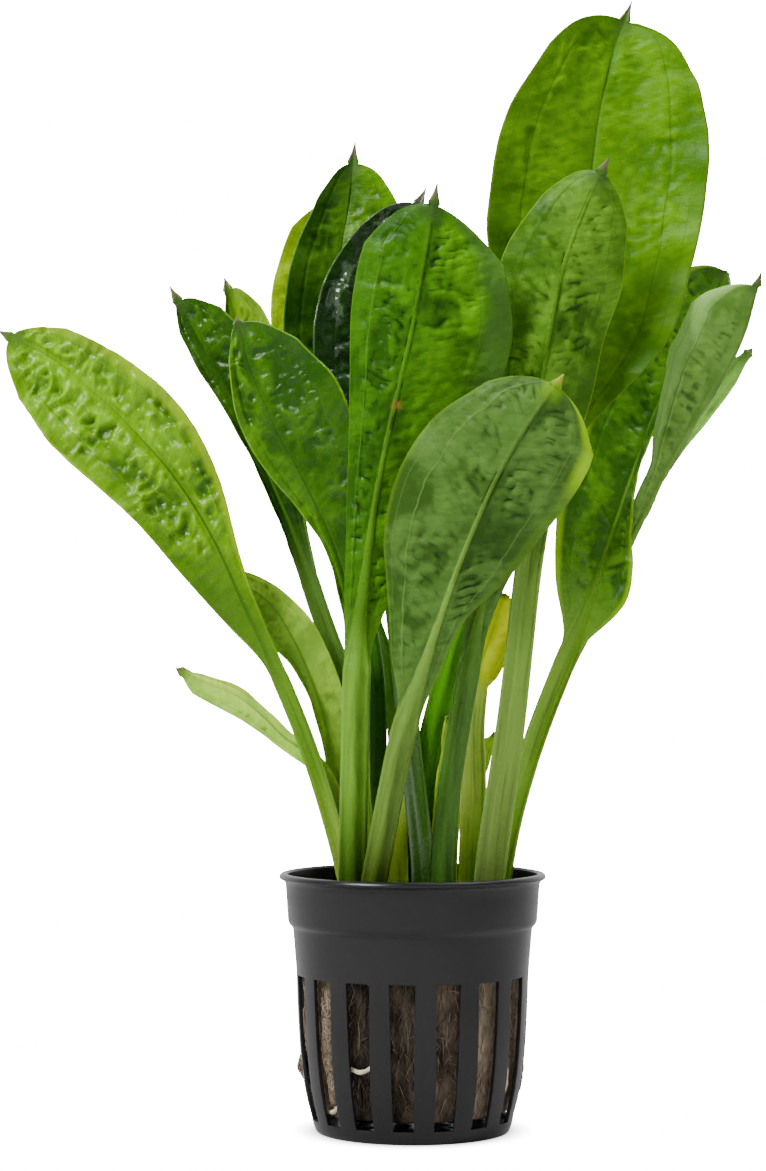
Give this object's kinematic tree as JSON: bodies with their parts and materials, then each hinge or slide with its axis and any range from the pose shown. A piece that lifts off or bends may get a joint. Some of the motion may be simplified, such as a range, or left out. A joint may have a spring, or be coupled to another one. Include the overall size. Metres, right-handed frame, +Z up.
{
  "type": "potted echinodorus",
  "caption": "Aquarium plant with broad oval leaves on long stalks, rooted in a wool plug in a slotted black net pot.",
  "frame": {"origin": "centre of the pot's underside, where it stands", "axes": "+Z up along the pot's axis; the plant's shown side faces -Y; +X is to the right seen from that side"},
  "size_m": [0.1522, 0.0752, 0.2226],
  "materials": {
    "leaf_dark": "glossy dark green leaf, waxy, slightly quilted",
    "leaf_green": "mid green leaf, satin, with raised ribs",
    "leaf_lime": "bright yellow-green leaf, glossy",
    "leaf_pale": "pale young leaf, satin, lets light through",
    "pot_plastic": "moulded black plastic, satin",
    "wool": "brown fibrous mineral wool, matt, damp",
    "root": "cream root, satin"
  },
  "bodies": {
    "root": {"leaf_front": "leaf_green", "leaf_centre": "leaf_green", "leaf_right_centre": "leaf_green", "leaf_tall": "leaf_green", "leaf_far_left": "leaf_lime", "leaf_low_left": "leaf_lime", "leaf_bent_left": "leaf_lime", "leaf_left_back": "leaf_dark", "leaf_left_folded": "leaf_lime", "leaf_left_front": "leaf_dark", "leaf_upright_left": "leaf_dark", "leaf_pale_back": "leaf_pale", "leaf_dark_centre": "leaf_dark", "leaf_right_folded": "leaf_green", "leaf_right_small": "leaf_dark", "leaf_right_back": "leaf_green", "leaf_young": "leaf_pale", "leaf_sprout": "leaf_lime", "leaf_behind_front": "leaf_green", "leaf_bud": "leaf_lime", "pot": "pot_plastic", "wool_plug": "wool", "root_front": "root", "root_left": "root", "root_right": "root"}
  },
  "joints": []
}
